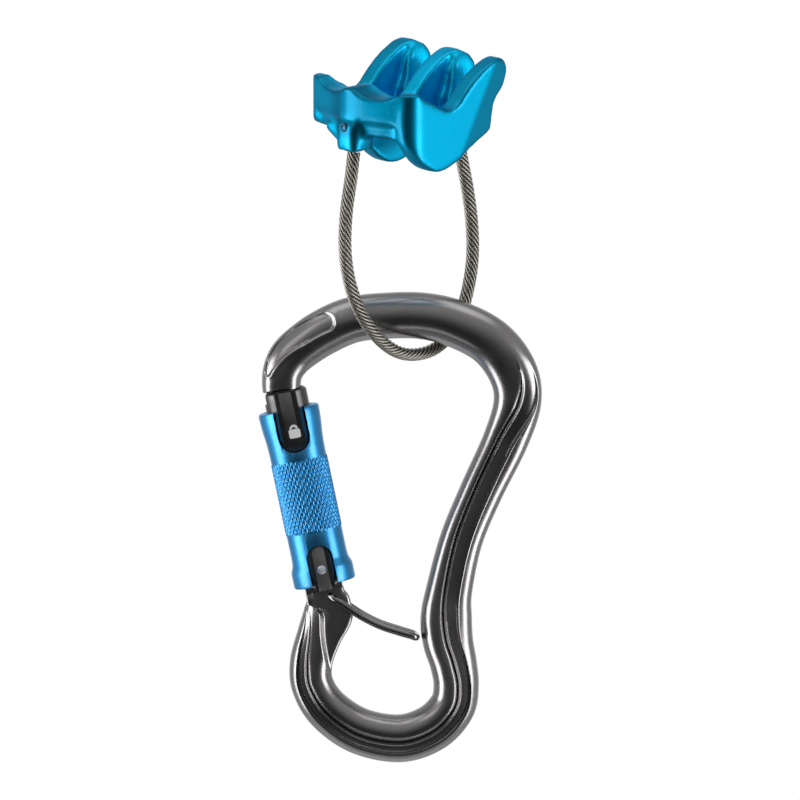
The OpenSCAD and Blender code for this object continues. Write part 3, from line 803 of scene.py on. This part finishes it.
@dataclass
class Gate:
    """The gate's barrel, lands and lock mark, lengths in millimetres along the gate from its hinge."""

    edge: float = 0.22
    shoulder: float = 1.1
    crown: Pair = (45.9, 4.4)
    mark_height: float = 34.8
    mark_size: float = 2.9
    mark_thick: float = 0.05
    flat: float = 4.9
    land_width: float = 3.2
    land_thick: float = 0.28
    land_edge: float = 0.1
    land_spans: tuple[Pair, ...] = ((29.4, 45.3), (-5.2, 7.4))

    def barrel(self, finish: Material) -> Object:
        """Takes the barrel's solid and breaks its edges.

        Args:
            finish: The barrel's material.

        Returns:
            The barrel.
        """
        bm = bmesh.new()
        bm.from_mesh(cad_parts["gate_barrel"].data)
        bmesh.ops.remove_doubles(bm, verts=bm.verts, dist=1e-6)
        bmesh.ops.dissolve_limit(bm, angle_limit=math.radians(1), verts=bm.verts, edges=bm.edges)
        local = {v: GATE.inverted() @ v.co for v in bm.verts}
        above, out = self.crown
        crown = [e for e in bm.edges if all(local[v].z > above and local[v].xy.length > out for v in e.verts)]
        bevelled(bm, crown, 0.001 * self.shoulder, segments=4, clamp=True)
        obj = shown(bm, "gate_barrel_body", Matrix.Identity(4), finish, 30.0)
        soft = obj.modifiers.new("broken_edges", "BEVEL")
        soft.width = self.edge * 0.001
        soft.segments = 2
        soft.limit_method = "ANGLE"
        soft.angle_limit = math.radians(40)
        return obj

    def lands(self, finish: Material) -> Object:
        """Raises the narrow polished lands along the middle of both flats, with painted shade on the upper
        ones.

        Args:
            finish: The lands' material.

        Returns:
            The lands.
        """
        bm = bmesh.new()
        for side in (-1, 1):
            for low, high in self.land_spans:
                block(bm, (-0.1, side * self.flat, (low + high) / 2),
                      (self.land_width, self.land_thick, high - low))
        bevelled(bm, list(bm.edges), self.land_edge)
        layer = bm.verts.layers.float.new(PAINTED_LIGHT_MIX)
        for v in bm.verts:
            # Painted shade: the upper lands take the dark tone, the lower lands keep the pale one.
            v[layer] = float(v.co.z < 0)
        return shown(bm, "gate_lands", GATE, finish, 30.0)

    def mark(self, finish: Material) -> Object:
        """Draws a plain padlock sign on the front flat.

        Args:
            finish: The mark's paint.

        Returns:
            The mark.
        """
        s = self.mark_size
        top = s * 0.36
        bm = bmesh.new()
        body = bmesh.ops.create_grid(bm, x_segments=1, y_segments=1, size=0.5)["verts"]
        bmesh.ops.transform(bm, matrix=Matrix.Diagonal((s, s * 0.78, 1, 1)), verts=body)
        bevelled(bm, body, s * 0.14, segments=4, affect="VERTICES")
        before = set(bm.verts)
        arm = [bm.verts.new((s * r, top, 0)) for r in (0.2, 0.38)]
        bar = bm.edges.new(arm)
        bmesh.ops.spin(bm, geom=[*arm, bar], cent=(0, top, 0), axis=(0, 0, 1), angle=math.pi, steps=20)
        shackle = [v for v in bm.verts if v not in before]
        bmesh.ops.scale(bm, vec=(1, 1.1, 1), space=Matrix.Translation((0, -top, 0)), verts=shackle)
        lifted = bmesh.ops.extrude_face_region(bm, geom=list(bm.faces))["geom"]
        bmesh.ops.translate(bm, vec=(0, 0, self.mark_thick), verts=only_verts(lifted))
        place = GATE @ Matrix.Translation((0.45, -self.flat - 0.12, self.mark_height)) @ ACROSS
        return shown(bm, "lock_mark", place, finish, 30.0)


@dataclass
class LockingSleeve:
    """The knurled twist sleeve, lengths in millimetres along the gate from its hinge."""

    bore: float = 5.9
    plain: float = 7.0
    crest: float = 7.14
    root: float = 0.05
    knurl: Pair = (9.6, 28.0)
    knurl_lines: int = 104
    knurl_edge: float = 0.12
    diamonds: int = 38
    rows: float = 9.1
    flare: Pair = (7.8, 7.7)
    top: float = 41.0
    window_turn: float = math.radians(1)
    window_edge: float = 0.22
    windows: tuple[Point, ...] = ((4.0, 34.1, 44.0), (3.25, 3.05, -8.0))

    def build(self, finish: Material) -> Object:
        """Turns the sleeve, cuts its windows and rolls the knurl on.

        Args:
            finish: The sleeve's material.

        Returns:
            The sleeve.
        """
        low, high = self.knurl
        foot, head = self.flare
        bore, r = self.bore, self.plain
        bm = bmesh.new()
        spun(bm, [
            (bore, -1.2), (bore + 1.0, -3.9), (foot - 0.6, -3.9), (foot - 0.22, -3.75), (foot, -3.3),
            (foot, -0.1), (foot - 0.1, 0.5), (r + 0.18, 1.8), (r + 0.04, 2.8), (r, 4.2), (r, low - 0.15),
            (r - 0.06, low + 0.1), (r - 0.06, high - 0.1), (r, high + 0.15), (r + 0.03, 30.5),
            (r + 0.16, 33.2), (head - 0.28, 35.7), (head - 0.14, 37.2), (head, 40.2), (head - 0.2, 40.75),
            (head - 0.6, self.top), (bore + 0.4, self.top), (bore, 40.6)], 160)
        bmesh.ops.recalc_face_normals(bm, faces=bm.faces)
        blank = linked("sleeve_blank", meshed(bm, "sleeve_blank"))
        cutters = []
        for radius, middle, end in self.windows:
            cut = bmesh.new()
            rod(cut, radius, 20, Matrix.Translation((0, 0, middle)) @ ACROSS)
            bmesh.ops.bisect_plane(cut, geom=[*cut.verts, *cut.edges, *cut.faces], plane_co=(0, 0, middle),
                                   plane_no=(0, 0, math.copysign(1, end - middle)), clear_outer=True)
            rim = [e for e in cut.edges if e.is_boundary]
            moved = bmesh.ops.extrude_edge_only(cut, edges=rim)["geom"]
            bmesh.ops.translate(cut, vec=(0, 0, end - middle), verts=only_verts(moved))
            bmesh.ops.holes_fill(cut, edges=[e for e in cut.edges if e.is_boundary], sides=0)
            bmesh.ops.recalc_face_normals(cut, faces=cut.faces)
            turn = Matrix.Rotation(self.window_turn, 3, "Z")
            bmesh.ops.rotate(cut, cent=(0, 0, 0), matrix=turn, verts=cut.verts)
            cutters.append(linked("window_cutter", meshed(cut, "window_cutter")))
            step = blank.modifiers.new("window", "BOOLEAN")
            step.operation = "DIFFERENCE"
            step.solver = "EXACT"
            step.object = cutters[-1]
        mesh = settled(blank)
        for cutter in cutters:
            bpy.data.objects.remove(cutter)
        bm = bmesh.new()
        bm.from_mesh(mesh)
        rims = [e for e in bm.edges if e.is_manifold and self._window_edge(e)]
        bevelled(bm, rims, self.window_edge, clamp=True)
        self._knurl(bm)
        return shown(bm, "locking_sleeve_body", GATE, finish, 34.0)

    def _window_edge(self, edge: BMEdge) -> bool:
        """Says whether an edge is the outer rim of a window."""
        if edge.calc_face_angle(0.0) < math.radians(35):
            return False
        flats = [f for f in edge.link_faces
                 if abs(f.normal.y) < 0.35 and all(abs(v.co.y) > 3 for v in f.verts)]
        outer = all(math.hypot(v.co.x, v.co.y) > self.plain - 0.3 for v in edge.verts)
        return bool(flats) and outer and all(abs(v.co.x) < 4.8 for v in edge.verts)

    def _knurl(self, bm: BMesh) -> None:
        """Rolls a band of crossing ridges round the sleeve, with painted shade in the grooves.

        Args:
            bm: The sleeve, which gets the band.
        """
        low, high = self.knurl
        layer = bm.verts.layers.float.new(PAINTED_LIGHT_MIX)
        for v in bm.verts:
            v[layer] = 1.0
        edge, lines = self.plain - self.knurl_edge, self.knurl_lines
        rolled = [(self.plain, low + (high - low) * k / lines) for k in range(lines + 1)]
        for v in spun(bm, [(edge, low), *rolled, (edge, high)], self.diamonds * 8):
            r = math.hypot(v.co.x, v.co.y)
            if r < self.plain - self.knurl_edge / 2:
                v[layer] = 1.0
                continue
            turn = math.atan2(v.co.y, v.co.x) / math.tau * self.diamonds
            climb = (v.co.z - low) / (high - low) * self.rows
            ridge = max(self._ridge(turn + climb), self._ridge(turn - climb))
            ends = ease(min(v.co.z - low, high - v.co.z) / 0.5)
            # The ridge height also sets the colour mix: painted shade in the grooves between the ridges.
            v[layer] = ridge
            rise = (self.crest - self.plain + self.root) * ridge * (0.3 + 0.7 * ends)
            grow = (self.plain - self.root + rise) / r
            v.co.x *= grow
            v.co.y *= grow

    @staticmethod
    def _ridge(phase: float) -> float:
        """Gives the height of a rounded ridge once in each whole phase."""
        off = abs(phase % 1.0 - 0.5) * 2
        return ease((off - 0.42) / 0.45)


@dataclass
class KeeperWire:
    """The sprung wire across the small bow, lengths in millimetres from the bar's centre at the top."""

    diameter: float = 1.8
    sides: int = 20
    half_span: float = 4.4
    leg: list[Point] = field(default_factory=lambda: [
        (-22.6, -69.6, .227), (-22.6, -69.6, .59), (-22.6, -69.6, .8), (-21.4, -70.5, .96), (-19.2, -71.9, 1),
        (-15, -74.7, 1), (-10.4, -77, 1), (-5.6, -78.6, 1), (-2.6, -79.5, .9), (-1.4, -80, .6)])

    def build(self, finish: Material) -> Object:
        """Bends the wire from one peg round the tip to the other peg.

        Args:
            finish: The wire's material.

        Returns:
            The wire.
        """
        half = [(x, -out * self.half_span, z) for x, z, out in self.leg]
        line = [Vector(p) for p in through([*half, *((x, -y, z) for x, y, z in reversed(half))], 8)]
        up = Vector((0.44, 0, 0.9)).normalized()
        rings = []
        for i, p in enumerate(line):
            t = heading(line, i)
            a = (up - up.dot(t) * t).normalized()
            b = t.cross(a)
            rings.append([p + self.diameter / 2 * (math.cos(turn) * a + math.sin(turn) * b)
                          for turn in (math.tau * k / self.sides for k in range(self.sides))])
        bm = bmesh.new()
        sweep(bm, rings)
        return shown(bm, "keeper_wire_bend", CARABINER, finish, 60.0)


@dataclass
class Studio:
    """The camera, the soft lights and the floor, lengths in metres."""

    lens: float = 600.0
    sensor: float = 36.0
    view_width: float = 0.2
    elevation: float = math.radians(4)
    target: Point = (-0.002375, 0.012, -0.0674)
    floor_z: float = -1.2
    floor_y: float = 1.8
    side: float = 0.55
    front: Pair = (0.03, 0.55)
    shade_z: Pair = (-0.3, 0.8)
    front_y: Pair = (-0.55, 0.15)
    back_y: Pair = (0.7, 0.95)
    lamps: tuple[tuple[str, Point, Pair, float], ...] = (
        ("left_softbox", (-1.2, -0.28, -0.25), (0.72, 1.4), 16.0),
        ("right_softbox", (1.1, -0.41, -0.25), (0.55, 1.4), 12.5),
        ("front_card", (-0.8, -0.95, 0.7), (0.35, 0.7), 1.0),
        ("low_card", (0.1, -0.55, -1.0), (1.2, 0.16), 0.8),
        ("top_softbox", (0.0, -0.1, 1.15), (1.6, 0.8), 4.8))

    def build(self) -> None:
        """Sets the stage up."""
        self._camera()
        self._world()
        for lamp in self.lamps:
            self._lamp(*lamp)
        self._floor()
        bpy.context.scene.view_settings.view_transform = "Standard"

    def _camera(self) -> None:
        """Puts the camera at the photograph's angle."""
        data = bpy.data.cameras.new("camera")
        data.lens, data.sensor_width, data.clip_end = self.lens, self.sensor, 60.0
        cam = linked("camera", data)
        look = Vector((0, math.cos(self.elevation), -math.sin(self.elevation)))
        cam.location = Vector(self.target) - look * (self.view_width * self.lens / self.sensor)
        cam.rotation_euler = look.to_track_quat("-Z", "Y").to_euler()
        bpy.context.scene.camera = cam

    def _lamp(self, name: str, place: Point, size: Pair, power: float) -> None:
        """Hangs a soft lamp that faces the object.

        Args:
            name: The lamp's name.
            place: Where it hangs.
            size: Its width and height.
            power: Its power in watts.
        """
        data = bpy.data.lights.new(name, "AREA")
        data.shape = "RECTANGLE"
        data.size, data.size_y = size
        data.energy = power
        lamp = linked(name, data)
        lamp.location = place
        lamp.rotation_euler = (Vector(self.target) - Vector(place)).to_track_quat("-Z", "Y").to_euler()
        lamp.visible_camera = False

    def _world(self) -> None:
        """Gives a pale room, white behind the object and shaded in front of it below."""
        world = bpy.data.worlds.new("room")
        bpy.context.scene.world = world
        world.use_nodes = True
        tree = world.node_tree
        where, split = add_node(tree, "TexCoord"), add_node(tree, "SeparateXYZ")
        join(tree, (where, "Generated", split, "Vector"))
        height = self._span(tree, split.outputs["Z"], self.shade_z, self.front)
        forward = self._span(tree, split.outputs["Y"], self.front_y, (1.0, 0.0))
        behind = self._span(tree, split.outputs["Y"], self.back_y, (0.0, 1.0))
        room = self._blend(tree, forward, (self.side,) * 3, height)
        sky = self._blend(tree, behind, room, (1.0,) * 3)
        tree.links.new(sky, tree.nodes["Background"].inputs["Color"])

    @staticmethod
    def _span(tree: NodeTree, value: NodeSocket, given: Pair, wanted: Pair) -> NodeSocket:
        """Maps a value smoothly from one range to another.

        Args:
            tree: The node tree.
            value: The value's socket.
            given: The range that it comes in.
            wanted: The range that it is mapped to.

        Returns:
            The mapped value.
        """
        labels = ("From Min", "From Max", "To Min", "To Max")
        node = add_node(tree, "MapRange", dict(zip(labels, (*given, *wanted))))
        node.interpolation_type = "SMOOTHSTEP"
        tree.links.new(value, node.inputs["Value"])
        return node.outputs["Result"]

    @staticmethod
    def _blend(tree: NodeTree, factor: NodeSocket, first: NodeSocket | Point,
               second: NodeSocket | Point) -> NodeSocket:
        """Blends two colours.

        Args:
            tree: The node tree.
            factor: The share of the second colour.
            first: The first colour, or its socket.
            second: The second colour, or its socket.

        Returns:
            The blended colour.
        """
        node = colour_mix(tree)
        tree.links.new(factor, node.inputs["Factor"])
        for label, colour in (("A", first), ("B", second)):
            if isinstance(colour, NodeSocket):
                tree.links.new(colour, node.inputs[label])
            else:
                node.inputs[label].default_value = (*colour, 1.0)
        return node.outputs["Result"]

    def _floor(self) -> None:
        """Lays the pale floor well below the hanging object."""
        bm = bmesh.new()
        bmesh.ops.create_grid(bm, x_segments=8, y_segments=8, size=1.6,
                              matrix=Matrix.Translation((0, self.floor_y, self.floor_z)))
        mesh = meshed(bm, "floor")
        mat = bpy.data.materials.new("floor_paper")
        mat.use_nodes = True
        paper = mat.node_tree.nodes["Principled BSDF"].inputs
        paper["Base Color"].default_value = (0.86, 0.86, 0.86, 1)
        paper["Roughness"].default_value = 0.9
        mesh.materials.append(mat)
        floor = linked("floor", mesh)


def dress_solid(node: str, material: Material) -> None:
    """Gives a carried-over solid its finish."""
    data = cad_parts[node].data
    data.materials.clear()
    data.materials.append(material)
    LOG.info("%s: solid dressed", node)


def main() -> None:
    """Builds every piece of the set and the stage."""
    logging.basicConfig(level=logging.INFO, format="%(message)s")
    Studio().build()
    groups = Groups()
    pin, crimp_shade, spring, rivet, plunger = (
        f.material(groups) for f in (PIN_STEEL, CRIMP_SHADE, SPRING_STEEL, RIVET_STEEL, PLUNGER_BRASS))
    cable, device, gate = KeeperCable(), BelayDevice(), Gate()
    strand = cable.build(STRAND_STEEL.material(groups))
    stood_for(strand, "keeper", "coated_steel_rope", "keeper_cable")
    path = cable.path()
    stood_for(device.build(DEVICE_BLUE.material(groups)), "belay_device", "blue_anodised", "belay_body")
    for end, obj in device.pins(pin).items():
        stood_for(obj, "belay_device", "pin_steel", f"cable_pin_{end}")
    for make, finish, *rest in (
            (CarabinerFrame().build, GUNMETAL, "carabiner", "gunmetal_anodised", "carabiner_frame"),
            (gate.barrel, GATE_BLACK, "gate", "black_anodised", "gate_barrel"),
            (gate.lands, GATE_LAND, "gate", "black_anodised"),
            (gate.mark, MARK_WHITE, "gate", "black_anodised"),
            (LockingSleeve().build, SLEEVE_BLUE, "sleeve", "royal_blue_anodised", "locking_sleeve"),
            (KeeperWire().build, WIRE_STEEL, "wire", "keeper_wire_steel", "keeper_wire")):
        stood_for(make(finish.material(groups)), *rest)
    # The ferrules get the painted shade finish.
    for node, material in (("cable_ferrule_front", crimp_shade), ("cable_ferrule_back", crimp_shade),
                           ("hinge_rivet", rivet), ("sleeve_guide_pin", pin), ("gate_spring", spring),
                           ("sleeve_spring", spring), ("gate_plunger", plunger)):
        dress_solid(node, material)


if __name__ == "__main__":
    main()
